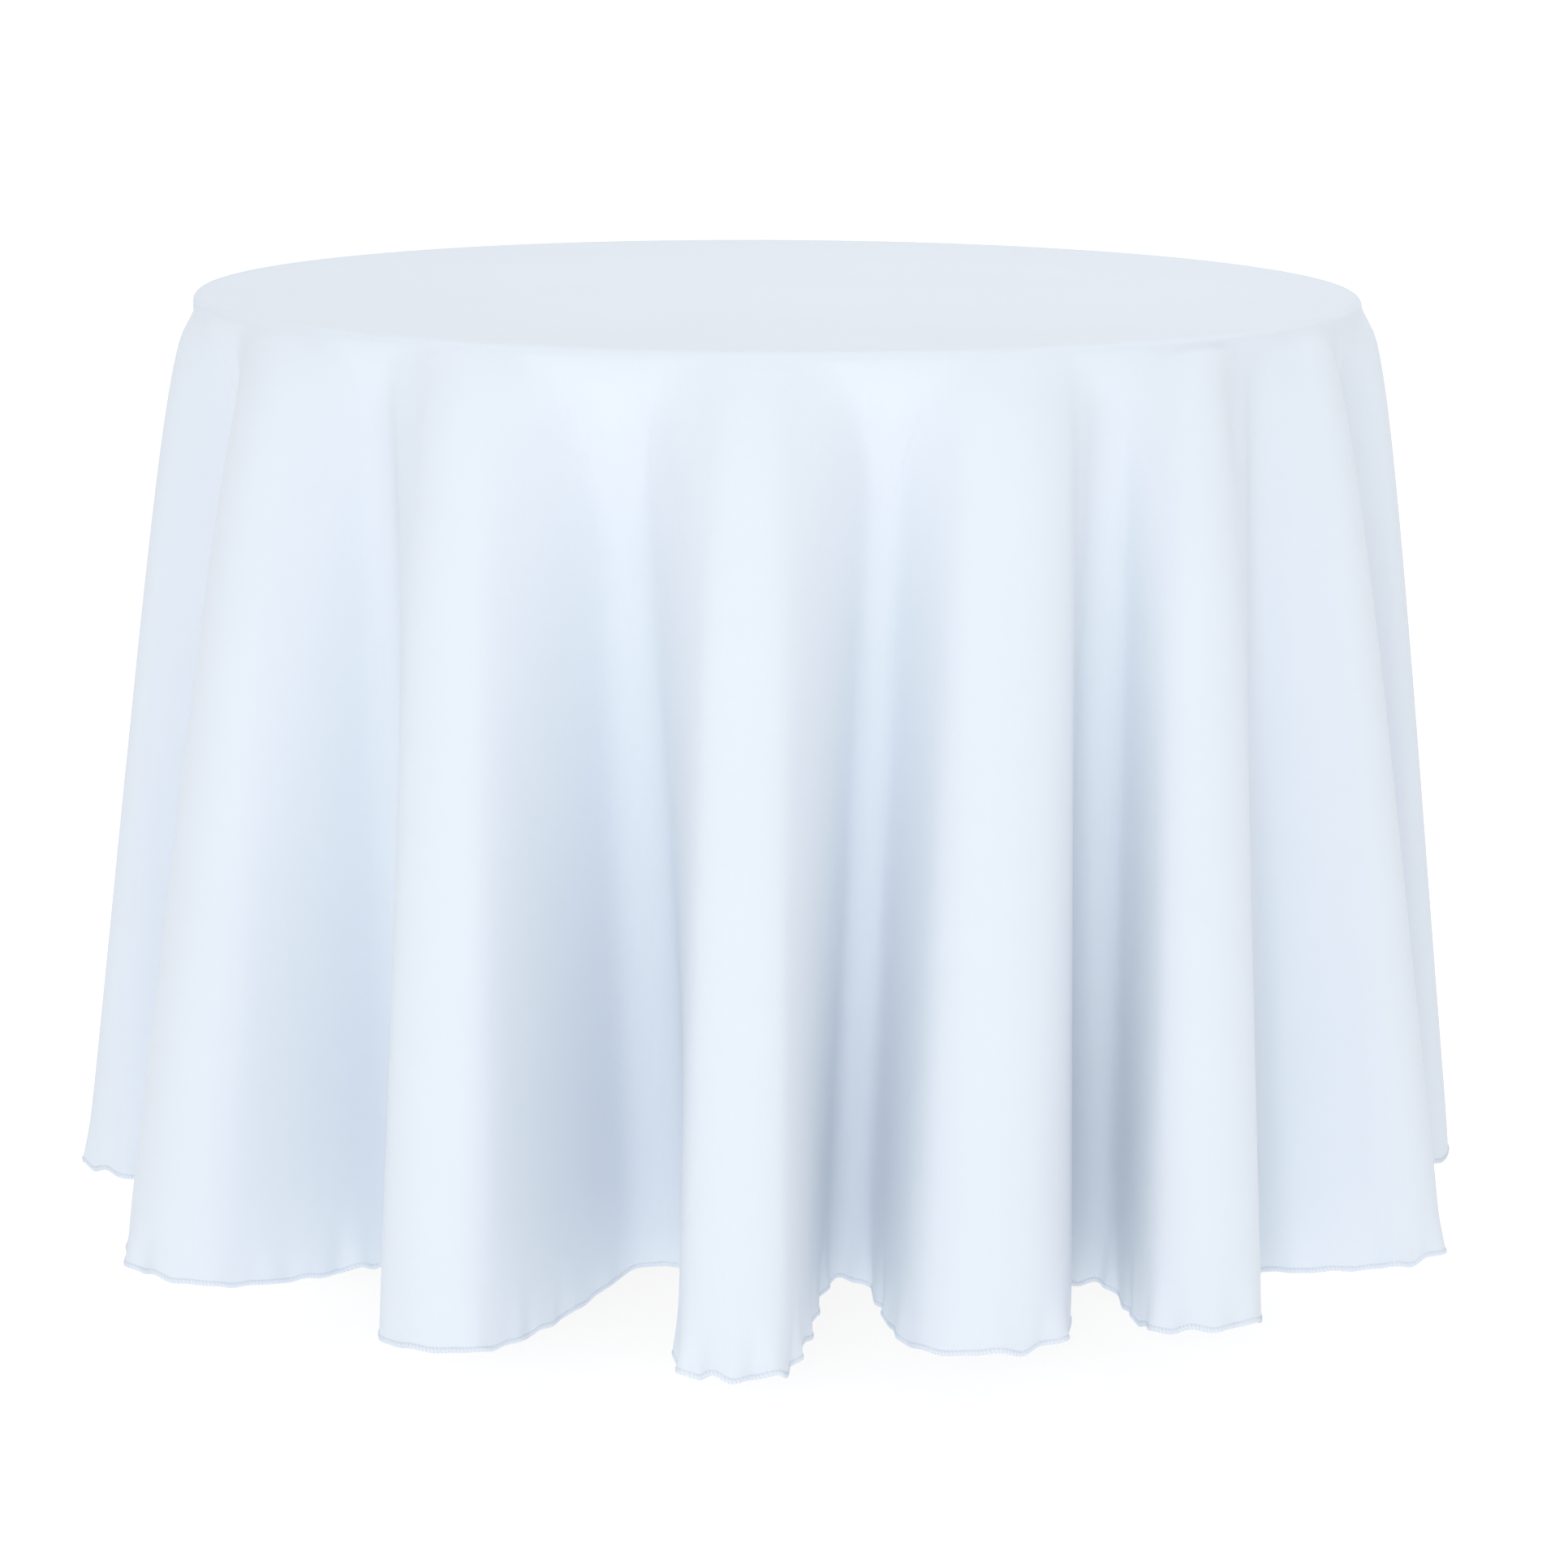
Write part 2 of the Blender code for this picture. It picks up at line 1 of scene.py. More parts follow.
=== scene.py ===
"""The looks of a round tablecloth over a round folding table: its drape, stitching and materials.

The cloth is a flat disc that a cloth simulation hangs over the table's edge. It starts from folds
listed one by one, each holding the cloth that a flat disc has there, and gravity then shapes them.
"""

import json
import math
from typing import NamedTuple

import bpy
import numpy as np
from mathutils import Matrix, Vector


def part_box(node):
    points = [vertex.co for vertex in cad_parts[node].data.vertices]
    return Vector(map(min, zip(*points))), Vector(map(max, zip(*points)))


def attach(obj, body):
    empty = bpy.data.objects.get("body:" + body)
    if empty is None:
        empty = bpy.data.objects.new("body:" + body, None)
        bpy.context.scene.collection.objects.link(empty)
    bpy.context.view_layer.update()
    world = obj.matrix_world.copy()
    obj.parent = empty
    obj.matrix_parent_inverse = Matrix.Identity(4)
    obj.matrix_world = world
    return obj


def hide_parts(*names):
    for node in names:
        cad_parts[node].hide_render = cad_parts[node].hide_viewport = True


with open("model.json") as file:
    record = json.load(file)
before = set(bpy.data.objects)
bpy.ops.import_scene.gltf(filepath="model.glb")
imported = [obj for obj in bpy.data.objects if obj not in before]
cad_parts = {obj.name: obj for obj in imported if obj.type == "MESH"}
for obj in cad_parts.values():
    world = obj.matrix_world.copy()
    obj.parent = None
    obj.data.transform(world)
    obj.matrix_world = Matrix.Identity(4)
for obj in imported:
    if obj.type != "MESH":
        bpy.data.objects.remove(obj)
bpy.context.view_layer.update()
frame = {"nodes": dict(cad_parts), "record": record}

# The table's edge and the cloth, in metres. Places on the cloth are those of its outside.
moulding_low, moulding_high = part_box("edge_moulding")
TABLE_RADIUS = moulding_high.x
BOARD_BOTTOM = moulding_low.z
CLOTH_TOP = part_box("tablecloth")[1].z
CLOTH_RADIUS = 1.143
CLOTH_THICKNESS = 0.0006
RIM_RADIUS = TABLE_RADIUS + CLOTH_TOP - moulding_high.z
RIM_ROUND = 0.006
ARC_END = RIM_RADIUS - RIM_ROUND + RIM_ROUND * math.pi / 2  # on the flat cloth
DROP = CLOTH_RADIUS - ARC_END  # the cloth that hangs


class Fold(NamedTuple):
    """A fold of the cloth. Directions are in degrees from the front, and positive to the right."""

    rim: float  # direction of its crest at the table's edge
    hem: float  # direction of its crest at the hem
    reach: float  # how far its hem stands out past the table's edge
    width: float  # of its crest at the hem
    turned: float  # how far the end of its crest faces to the right, in degrees
    valley_width: float  # of the valley that follows it
    lean: float  # how far that valley lies to the right of the middle, in degrees


FOLDS = (
    Fold(-73, -74, 0.112, 0.080, 0, 0.060, 0),
    Fold(-49.7, -47.8, 0.164, 0.120, 10, 0.070, 0),
    Fold(-28.3, -24, 0.152, 0.095, 0, 0.060, 1),
    Fold(-2, -2.6, 0.145, 0.080, -3, 0.035, 2),
    Fold(22.5, 17, 0.108, 0.136, 25, 0.050, 3),
    Fold(40.5, 31.5, 0.165, 0.085, -14, 0.060, 0),
    Fold(57, 52.5, 0.160, 0.085, 0, 0.060, 0),
    Fold(78, 78, 0.102, 0.085, 0, 0.060, 0),
    Fold(101, 101, 0.112, 0.090, 0, 0.060, 0),
    Fold(124, 124, 0.125, 0.095, 0, 0.060, 0),
    Fold(147, 147, 0.135, 0.095, 0, 0.060, 0),
    Fold(170, 170, 0.150, 0.100, 0, 0.060, 0),
    Fold(193, 193, 0.138, 0.095, 0, 0.060, 0),
    Fold(217, 217, 0.130, 0.095, 0, 0.065, 0),
    Fold(240, 240, 0.115, 0.095, 0, 0.060, 0),
    Fold(263, 263, 0.105, 0.090, 0, 0.060, 0),
)
CORNER_STEPS = (-90, -45, 0, 45, 90)  # points round the end of a crest or a valley, in degrees
CURVE_STEPS = 24  # points between two of those on the smooth curve

# Laying out the folds
COLUMNS = 360
DROP_ROWS = 36
ARC_STEPS = (0, 45, 90)  # of the rim's round, in degrees
INNER_RINGS = (0.030, 0.015)  # inwards of the edge
HEM_STRETCH = 1.05  # the overlocked edge is this much longer than the flat cloth's
STEEPEST = 0.35  # the least share of a row that still hangs down
BIAS_GIVE = 0.6  # how much of a sideways run still lifts the cloth, since it gives on the bias
FIRST_VALLEY = 0.9  # first guess at the valleys' distance from the middle, in table radii
VALLEY_ROUNDS = 60
VALLEY_STEP = 0.35  # the share of what a fold still lacks that each round puts right
MOST_SPREAD = 1.3  # the most that a level may spread towards the hem, which is at 1
SPREAD_ROUNDS = 40

# Hanging them
SIM_FRAMES = 20
SIM_SETTINGS = {
    "quality": 5,
    "mass": 0.15,
    "air_damping": 2.0,
    "tension_stiffness": 30,
    "compression_stiffness": 30,
    "shear_stiffness": 5,
    "bending_stiffness": 2.0,
    "bending_damping": 0.5,
    "pin_stiffness": 1.0,
}
HOLD = 0.25  # how firmly the hem is held to the folds laid out
HOLD_POWER = 0.5  # how that hold grows from the table's edge down to the hem
EDGE_SLOPE = 0.25  # how steeply a valley may fall in below the board's edge

# The hem's ripple: an overlocked edge is longer than the cloth it binds.
RIPPLE_LENGTH = 0.041
RIPPLE_OUT = 0.0040
RIPPLE_UP = 0.0032
RIPPLE_DEPTH = 0.024  # how far above the hem it has mostly died away
RIPPLE_FADE = 1.5  # how suddenly it does
RIPPLE_SIZES = (0.25, 0.65, 1.0)  # the least, usual and most, as it swells and dies round the hem
# The size, turns and phase of each wave: round the table, or along the ripple.
RIPPLE_PATCHES = ((0.4, 5, 0.4), (0.4, 11, 1.9), (0.4, 23, 4.0))
RIPPLE_WANDER = ((1.6, 7, 0.6), (1.1, 19, 2.0))
RIPPLE_OUT_WAVES = ((0.8, 1.0, 0.0), (0.3, 1.7, 1.0))
RIPPLE_UP_WAVES = ((0.7, 1.0, 1.1), (0.4, 1.7, 0.0))

# The final mesh: how often the columns and the rings are halved, and which of them are kept.
ROUND_HALVINGS = 3
DOWN_HALVINGS = 2
FINE_BAND = 0.060  # every ring is kept in this height above the hem
COLUMN_STEPS = ((0.330, 4), (0.040, 2), (-1.0, 1))  # above this height, every so many columns
# Rings on the table: the share of its radius, and every so many columns.
TOP_RINGS = ((0.06, 32), (0.16, 32), (0.32, 16), (0.52, 8), (0.72, 8), (0.88, 4))
FLAT_PLACE = "flat_place"  # each point's place on the flat cloth, which the weave follows

# Stitching and label
BAND_HALF_HEIGHT = 0.0019
BAND_HALF_WIDTH = 0.0008
BAND_BELOW = 0.0005  # how far the bound edge reaches below the cut
BAND_SIDES = 8
WINDING_STEPS = 10  # points to a turn; there is one turn to each column of the cloth
THREAD_RADIUS = 0.00026
THREAD_LIFT = 0.12  # how far outside the band it runs, as a share of the band's half sizes
THREAD_SIDES = 4
LABEL_DIRECTION = 170
LABEL_WIDTH = 0.030
LABEL_HEIGHT = 0.045
LABEL_THICKNESS = 0.0003
LABEL_GAP = 0.0008  # at its foot, from the outside of the cloth
LABEL_FOOT = 0.0026  # how far above the cut its foot is, under the looper thread
LABEL_LIFT = 0.004  # of its top corners
LABEL_MIDDLE_LIFT = 0.4  # of the middle of its top, as a share of that
LABEL_COLUMNS = 12
LABEL_ROWS = 18

# Materials, with linear colours
CLOTH_COLOUR = (0.755, 0.815, 0.890)
THREAD_COLOUR = (0.73, 0.795, 0.875)
WEAVE_PITCH = 0.0005
NOISE_RANGE = (0.3, 0.7)  # where most of a noise lies
FLOOR_COLOUR = (0.40, 0.40, 0.40)
FLOOR_GLOW = 0.82  # a sweep lit from behind, as for a cut-out, so the light comes from below too
EASED_EDGE = {"runner": 0.0015, "plywood": 0.0004, "frame": 0.0004, "foot": 0.0008}
EASED_EDGE_ELSEWHERE = 0.0002
EASED_EDGE_STEPS = 2
SHARP_ANGLE = math.radians(35)
WELD_DISTANCE = 0.00001

# Studio
CAMERA_PLACE = (0, -2.798, 1.0267)
CAMERA_PITCH = 76.5  # up from straight down, in degrees
CAMERA_ROLL = -0.3
CAMERA_LENS = 80.42
CAMERA_SENSOR = 36
CAMERA_SHIFT = 0.003
FLOOR_HALF = 100.0
HORIZON_LIGHT = 1.05
ZENITH_LIGHT = 0.62
SKY_HEIGHTS = (0.04, 0.5)  # of the sky's direction, where it starts and stops dimming
LIGHTS = (  # name, place, size and power
    ("key", (-0.5, -4.3, 1.4), 1.2, 35),
    ("top", (0.2, 0.2, 3.1), 1.6, 24),
)


def link_to_scene(thing):
    bpy.context.scene.collection.objects.link(thing)


# The folds, laid out


def over_the_edge(flat_radius):
    """Radius and height of the cloth on the top and round its edge, given its flat radius."""
    turn = max(flat_radius - (RIM_RADIUS - RIM_ROUND), 0) / RIM_ROUND
    radius = min(flat_radius, RIM_RADIUS - RIM_ROUND) + RIM_ROUND * math.sin(turn)
    return radius, CLOTH_TOP - RIM_ROUND * (1 - math.cos(turn))


def on_plan(direction, radius):
    return np.array([radius * math.sin(direction), -radius * math.cos(direction)])


def unit_circle(directions):
    """Points on plan in those directions, 1 from the middle."""
    return np.stack([np.sin(directions), -np.cos(directions)], -1)


def fold_end(direction, radius, width, side, turned=0):
    """Points round one rounded end: a crest's with side 1, and a valley's with side -1."""
    centre = on_plan(math.radians(direction), radius - side * width / 2)
    outwards = on_plan(math.radians(direction + turned), 1.0)
    across = np.array([-outwards[1], outwards[0]])
    points = []
    for step in CORNER_STEPS:
        share = math.radians(step)
        points.append(
            centre + width / 2 * (math.sin(share) * across + side * math.cos(share) * outwards)
        )
    return points


def smooth_loop(points):
    """A closed Catmull-Rom curve through the points."""
    share = np.arange(CURVE_STEPS)[:, None] / CURVE_STEPS
    pieces = []
    for i in range(len(points)):
        a, b, c, d = (points[(i + k) % len(points)] for k in (-1, 0, 1, 2))
        pieces.append(
            b
            + 0.5 * (c - a) * share
            + 0.5 * (2 * a - 5 * b + 4 * c - d) * share**2
            + 0.5 * (3 * b - a - 3 * c + d) * share**3
        )
    return np.vstack(pieces)


def hem_loop(valley_radii):
    """The hem's curve on plan, and where on it each crest is."""
    points = []
    crests = []
    for fold, following, valley_radius in zip(FOLDS, FOLDS[1:] + FOLDS[:1], valley_radii):
        crests.append((len(points) + len(CORNER_STEPS) // 2) * CURVE_STEPS)
        radius = TABLE_RADIUS + fold.reach
        points += fold_end(fold.hem, radius, fold.width, 1, fold.turned)
        right = fold.hem + math.degrees(fold.width / 2 / radius)
        left = fold.hem + (following.hem - fold.hem) % 360
        left -= math.degrees(following.width / 2 / (TABLE_RADIUS + following.reach))
        middle = (right + left) / 2 + fold.lean
        points += fold_end(middle, valley_radius, fold.valley_width, -1)
    return smooth_loop(points), crests


def lengths_along(loop):
    """Distance along a closed curve at each of its points, and once more back at the first."""
    steps = np.linalg.norm(np.roll(loop, -1, 0) - loop, axis=1)
    return np.concatenate([[0.0], np.cumsum(steps)])


def hem_on_plan():
    """Directions of the cloth's columns, in radians, and the place of each one's hem on plan.

    The valleys are made as deep as it takes for each fold to hold the hem that the flat cloth has
    between two crests.
    """
    wanted = [
        math.radians((following.rim - fold.rim) % 360) * CLOTH_RADIUS * HEM_STRETCH
        for fold, following in zip(FOLDS, FOLDS[1:] + FOLDS[:1])
    ]
    valley_radii = np.full(len(FOLDS), FIRST_VALLEY * TABLE_RADIUS)
    for _ in range(VALLEY_ROUNDS):
        loop, crests = hem_loop(valley_radii)
        along = lengths_along(loop)
        at_crests = [along[c] for c in crests] + [along[crests[0]] + along[-1]]
        valley_radii -= VALLEY_STEP * (np.array(wanted) - np.diff(at_crests))
    around = np.concatenate([along[:-1], along[:-1] + along[-1]])
    twice = np.vstack([loop, loop])
    directions = FOLDS[0].rim + 360 * np.arange(COLUMNS) / COLUMNS
    rims = [fold.rim for fold in FOLDS] + [FOLDS[0].rim + 360]
    places = np.interp(directions, rims, at_crests)
    hem = np.stack([np.interp(places, around, twice[:, k]) for k in (0, 1)], -1)
    return np.radians(directions), hem


def loop_length(loop):
    return np.linalg.norm(np.roll(loop, -1, 0) - loop, axis=1).sum()


def level_on_plan(edge, hem, flat_radius):
    """The cloth on plan at one level, between edge and hem, as long as the cloth is there."""
    stretch = 1 + (HEM_STRETCH - 1) * ((flat_radius - RIM_RADIUS) / DROP) ** 2
    wanted = 2 * math.pi * flat_radius * stretch
    low, high = 0.0, MOST_SPREAD
    for _ in range(SPREAD_ROUNDS):
        share = (low + high) / 2
        level = edge + (hem - edge) * share
        if loop_length(level) < wanted:
            low = share
        else:
            high = share
    return level


def laid_out_cloth():
    """The columns' directions, the rings laid out in folds, and each ring's flat radius."""
    directions, hem = hem_on_plan()
    circle = unit_circle(directions)
    flat = [RIM_RADIUS - inner - RIM_ROUND for inner in INNER_RINGS]
    flat += [RIM_RADIUS - RIM_ROUND + RIM_ROUND * math.radians(step) for step in ARC_STEPS]
    rings = []
    for flat_radius in flat:
        radius, height = over_the_edge(flat_radius)
        rings.append(np.c_[circle * radius, np.full(COLUMNS, height)])
    edge = circle * RIM_RADIUS
    row = DROP / DROP_ROWS
    for _ in range(DROP_ROWS):
        flat.append(flat[-1] + row)
        level = level_on_plan(edge, hem, flat[-1])
        sideways = np.linalg.norm(level - rings[-1][:, :2], axis=1)
        down = np.sqrt(np.maximum(row * row - BIAS_GIVE * sideways**2, (STEEPEST * row) ** 2))
        rings.append(np.c_[level, rings[-1][:, 2] - down])
    return directions, np.array(rings), np.array(flat)


def hang(directions, rings, flat):
    """The rings after the cloth simulation. The part that lies on the table is pinned."""
    ring_count = len(rings)
    circle = unit_circle(directions)
    faces = [
        (
            j * COLUMNS + i,
            j * COLUMNS + (i + 1) % COLUMNS,
            (j + 1) * COLUMNS + (i + 1) % COLUMNS,
            (j + 1) * COLUMNS + i,
        )
        for j in range(ring_count - 1)
        for i in range(COLUMNS)
    ]
    mesh = bpy.data.meshes.new("hanging")
    mesh.from_pydata(rings.reshape(-1, 3).tolist(), [], faces)
    hanging = bpy.data.objects.new("hanging", mesh)
    link_to_scene(hanging)
    hanging.shape_key_add(name="Basis")
    cut = hanging.shape_key_add(name="flat")
    flat_points = np.concatenate([np.c_[circle * r, np.zeros(COLUMNS)] for r in flat])
    cut.data.foreach_set("co", flat_points.ravel().astype(np.float32))
    pinned = len(INNER_RINGS) + len(ARC_STEPS) - 1
    held = hanging.vertex_groups.new(name="held")
    held.add(list(range(pinned * COLUMNS)), 1.0, "REPLACE")
    for j in range(pinned, ring_count):
        share = (j - pinned) / (ring_count - 1 - pinned)
        held.add(list(range(j * COLUMNS, (j + 1) * COLUMNS)), HOLD * share**HOLD_POWER, "REPLACE")
    cloth = hanging.modifiers.new("cloth", "CLOTH")
    for name, value in SIM_SETTINGS.items():
        setattr(cloth.settings, name, value)
    cloth.settings.rest_shape_key = cut
    cloth.settings.vertex_group_mass = held.name
    cloth.collision_settings.use_collision = False
    cloth.point_cache.frame_start = 1
    cloth.point_cache.frame_end = SIM_FRAMES
    for number in range(1, SIM_FRAMES + 1):
        bpy.context.scene.frame_set(number)
    hung = hanging.evaluated_get(bpy.context.evaluated_depsgraph_get()).data
    points = np.empty(len(hung.vertices) * 3, np.float32)
    hung.vertices.foreach_get("co", points)
    bpy.data.objects.remove(hanging)
    bpy.context.scene.frame_set(1)
    return points.reshape(ring_count, COLUMNS, 3).astype(float)


# The final mesh


def finer_round(rings):
    """Twice the columns, smoothed the way a subdivision surface is."""
    before, after = np.roll(rings, 1, 1), np.roll(rings, -1, 1)
    fine = np.empty((rings.shape[0], rings.shape[1] * 2, rings.shape[2]))
    fine[:, 0::2] = (before + 6 * rings + after) / 8
    fine[:, 1::2] = (rings + after) / 2
    return fine


def finer_down(rings):
    """Twice the rings, smoothed in the same way; the first and last stay where they are."""
    fine = np.empty((rings.shape[0] * 2 - 1, rings.shape[1], rings.shape[2]))
    fine[0::2] = rings
    fine[2:-2:2] = (rings[:-2] + 6 * rings[1:-1] + rings[2:]) / 8
    fine[1::2] = (rings[:-1] + rings[1:]) / 2
    return fine


def clear_of_board(points):
    """The cloth bears on the table's edge: where it was drawn inside, it is put back outside."""
    radius = np.linalg.norm(points[..., :2], axis=-1)
    below = np.maximum(BOARD_BOTTOM - points[..., 2], 0)
    push = np.maximum((RIM_RADIUS - EDGE_SLOPE * below) / radius, 1.0)
    return np.concatenate([points[..., :2] * push[..., None], points[..., 2:]], -1)


def outward(points):
    """The cloth's outward normal on plan, at each of its points."""
    along = np.roll(points, -1, 1) - np.roll(points, 1, 1)
    normal = np.stack([along[..., 1], -along[..., 0]], -1)
    return normal / np.linalg.norm(normal, axis=-1, keepdims=True)


def waves(parts, along):
    """The sum of some waves, each with its size, turns and phase, at places given as angles."""
    return sum(size * np.sin(turns * along + phase) for size, turns, phase in parts)


def hem_ripple(directions, flat):
    """How far the stretched edge curls outwards, and how far up. Both die away above the hem."""
    fade = np.exp(-(((CLOTH_RADIUS - flat[:, None]) / RIPPLE_DEPTH) ** RIPPLE_FADE))
    least, usual, most = RIPPLE_SIZES
    size = np.clip(usual + waves(RIPPLE_PATCHES, directions), least, most)
    along = 2 * math.pi * directions * CLOTH_RADIUS / RIPPLE_LENGTH
    along = along + waves(RIPPLE_WANDER, directions)
    out = RIPPLE_OUT * size * waves(RIPPLE_OUT_WAVES, along)
    up = RIPPLE_UP * size * waves(RIPPLE_UP_WAVES, along)
    return out * fade, up * fade


def draped_grid():
    """Every point of the hanging cloth on a fine grid, and its place on the flat cloth."""
    directions, rings, flat = laid_out_cloth()
    rings = hang(directions, rings, flat)
    circle = unit_circle(directions)
    both = np.concatenate([rings, circle[None] * flat[:, None, None]], 2)
    for _ in range(ROUND_HALVINGS):
        both = finer_round(both)
    for _ in range(DOWN_HALVINGS):
        both = finer_down(both)
    places = both[..., 3:]
    flat = np.linalg.norm(places[:, 0], axis=-1)
    on_table = int((flat < ARC_END).sum())
    points = both[..., :3]
    points[on_table:] = clear_of_board(points[on_table:])
    for ring, flat_radius, place in zip(points, flat[:on_table], places):
        radius, height = over_the_edge(flat_radius)
        ring[:] = np.c_[place * radius / flat_radius, np.full(len(place), height)]
    directions = directions[0] + 2 * math.pi * np.arange(both.shape[1]) / both.shape[1]
    out, up = hem_ripple(directions, flat)
    points[..., :2] += outward(points) * out[..., None]
    points[..., 2] += up
    return points, places


def add_piece(name, vertices, faces, slot):
    """A mesh that rides on the cloth's body, in its slot's material."""
    mesh = bpy.data.meshes.new(name)
    mesh.from_pydata(vertices.tolist(), [], faces)
    mesh.shade_smooth()
    piece = bpy.data.objects.new(name, mesh)
    link_to_scene(piece)
    mesh.materials.append(materials[slot])
    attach(piece, "cloth")
    return piece


def add_thickness(piece, thickness, offset):
    solidify = piece.modifiers.new("thickness", "SOLIDIFY")
    solidify.thickness = thickness
    solidify.offset = offset


def join_rings(first_upper, first_lower, upper_count, lower_count):
    """Faces between two rings of numbered points, where the second has as many or twice as many."""
    faces = []
    for i in range(upper_count):
        k = (i + 1) % upper_count
        a, d = first_upper + i, first_upper + k
        if lower_count == upper_count:
            faces.append((a, first_lower + i, first_lower + k, d))
        else:
            b, c, e = (first_lower + n for n in (2 * i, 2 * i + 1, 2 * k))
            faces += [(a, b, c), (a, c, d), (d, c, e)]
    return faces


def make_cloth(points, places):
    """One sheet from the middle of the table to the hem, finer where it has more detail."""
    rings = []
    for share, step in TOP_RINGS:
        rings.append((points[0, ::step] * (share, share, 1), places[0, ::step] * share))
    for j in range(len(points)):
        above_hem = CLOTH_RADIUS - np.linalg.norm(places[j, 0])
        if above_hem > FINE_BAND and j % 2:
            continue
        step = next(step for height, step in COLUMN_STEPS if above_hem > height)
        rings.append((points[j, ::step], places[j, ::step]))
    vertices = [np.array([[0, 0, CLOTH_TOP]])] + [ring for ring, _ in rings]
    flat_places = [np.zeros((1, 2))] + [place for _, place in rings]
    count = len(rings[0][0])
    faces = [(0, 1 + i, 1 + (i + 1) % count) for i in range(count)]
    first = 1
    for (upper, _), (lower, _) in zip(rings, rings[1:]):
        faces += join_rings(first, first + len(upper), len(upper), len(lower))
        first += len(upper)
    cloth = add_piece("draped_cloth", np.vstack(vertices), faces, "cloth")
    flat_places = np.vstack(flat_places)
    place = cloth.data.attributes.new(FLAT_PLACE, "FLOAT_VECTOR", "POINT")
    place.data.foreach_set("vector", np.c_[flat_places, np.zeros(len(flat_places))].ravel())
    add_thickness(cloth, CLOTH_THICKNESS, -1.0)
    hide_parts("tablecloth")
    return cloth


# Stitching


def tube(path, first_axis, second_axis, angles):
    """Points and faces of a tube round a closed path, with a section in two axes at each point."""
    sides = len(angles)
    count = len(path)
    section = [path + math.cos(a) * first_axis + math.sin(a) * second_axis for a in angles]
    vertices = np.stack(section, 1).reshape(-1, 3)
    faces = []
    for i in range(count):
        k = (i + 1) % count
        for n in range(sides):
            m = (n + 1) % sides
            faces.append((i * sides + n, i * sides + m, k * sides + m, k * sides + n))
    return vertices, faces


def unit(vectors):
    return vectors / np.linalg.norm(vectors, axis=-1, keepdims=True)


def even_angles(count):
    return [2 * math.pi * n / count for n in range(count)]


def hem_frame(points):
    """Down and outwards at each point of the hem, and the middle of the bound edge there."""
    hem = points[-1]
    along = unit(np.roll(hem, -1, 0) - np.roll(hem, 1, 0))
    down = hem - points[-2]
    down = unit(down - (down * along).sum(-1, keepdims=True) * along)
    out = np.cross(down, along)
    middle = hem - down * (BAND_HALF_HEIGHT - BAND_BELOW) - out * CLOTH_THICKNESS / 2
    return down, out, middle


def make_overlock(points):
    """The bound edge: a flattened band of thread with the looper thread wound over it."""
    down, out, middle = hem_frame(points)
    band = add_piece(
        "overlock_band",
        *tube(middle, out * BAND_HALF_WIDTH, down * BAND_HALF_HEIGHT, even_angles(BAND_SIDES)),
        "edge_thread",
    )
    count = len(middle)
    step = np.arange(count * WINDING_STEPS) / WINDING_STEPS
    low = step.astype(int)
    share = (step - low)[:, None]
    high = (low + 1) % count
    middle_at, out_at, down_at = (
        values[low] * (1 - share) + values[high] * share for values in (middle, out, down)
    )
    turn = 2 * math.pi * step[:, None]
    radial = np.cos(turn) * out_at * BAND_HALF_WIDTH + np.sin(turn) * down_at * BAND_HALF_HEIGHT
    path = middle_at + radial * (1 + THREAD_LIFT)
    ahead = unit(np.roll(path, -1, 0) - np.roll(path, 1, 0))
    raised = unit(radial)
    beside = np.cross(ahead, raised)
    winding = add_piece(
        "overlock_winding",
        *tube(path, raised * THREAD_RADIUS, beside * THREAD_RADIUS, even_angles(THREAD_SIDES)),
        "edge_thread",
    )
    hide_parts("overlocked_edge")
    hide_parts("overlocked_edge")
    return [band, winding]


def on_cloth(points, row, column, inwards):
    """A point on the inside of the cloth, at a row and column that may lie between two."""
    low_row = min(int(row), len(points) - 2)
    low_column = int(column)
    row_share, column_share = row - low_row, column - low_column
    corners = points[low_row : low_row + 2, low_column : low_column + 2]
    across = corners[:, 1] - corners[:, 0]
    down = corners[1] - corners[0]
    drop = down[0] * (1 - column_share) + down[1] * column_share
    place = corners[0, 0] + row_share * drop + column_share * across[0]
    normal = np.cross(across[0], down[0])
    return place + normal / np.linalg.norm(normal) * inwards


def make_label(points, places):
    """A blank care label, its foot caught in the hem's stitching and its top corners lifting."""
    columns = points.shape[1]
    middle = (LABEL_DIRECTION - FOLDS[0].rim) / 360 * columns
    column_width = 2 * math.pi * CLOTH_RADIUS / columns
    row_height = np.linalg.norm(places[-1, 0] - places[-2, 0])
    vertices = []
    for j in range(LABEL_ROWS + 1):
        up = j / LABEL_ROWS
        for i in range(LABEL_COLUMNS + 1):
            aside = i / LABEL_COLUMNS - 0.5
            bowed = LABEL_MIDDLE_LIFT + (1 - LABEL_MIDDLE_LIFT) * (2 * aside) ** 2
            lift = LABEL_GAP + LABEL_LIFT * up**2 * bowed
            row = len(points) - 1 - (LABEL_FOOT + up * LABEL_HEIGHT) / row_height
            column = middle + aside * LABEL_WIDTH / column_width
            vertices.append(on_cloth(points, row, column, lift))
    across = LABEL_COLUMNS + 1
    faces = [
        (j * across + i, j * across + i + 1, (j + 1) * across + i + 1, (j + 1) * across + i)
        for j in range(LABEL_ROWS)
        for i in range(LABEL_COLUMNS)
    ]
    label = add_piece("sewn_label", np.array(vertices), faces, "label")
    add_thickness(label, LABEL_THICKNESS, 0.0)
    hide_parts("care_label")
    return label


# Materials

materials = {}  # by slot name


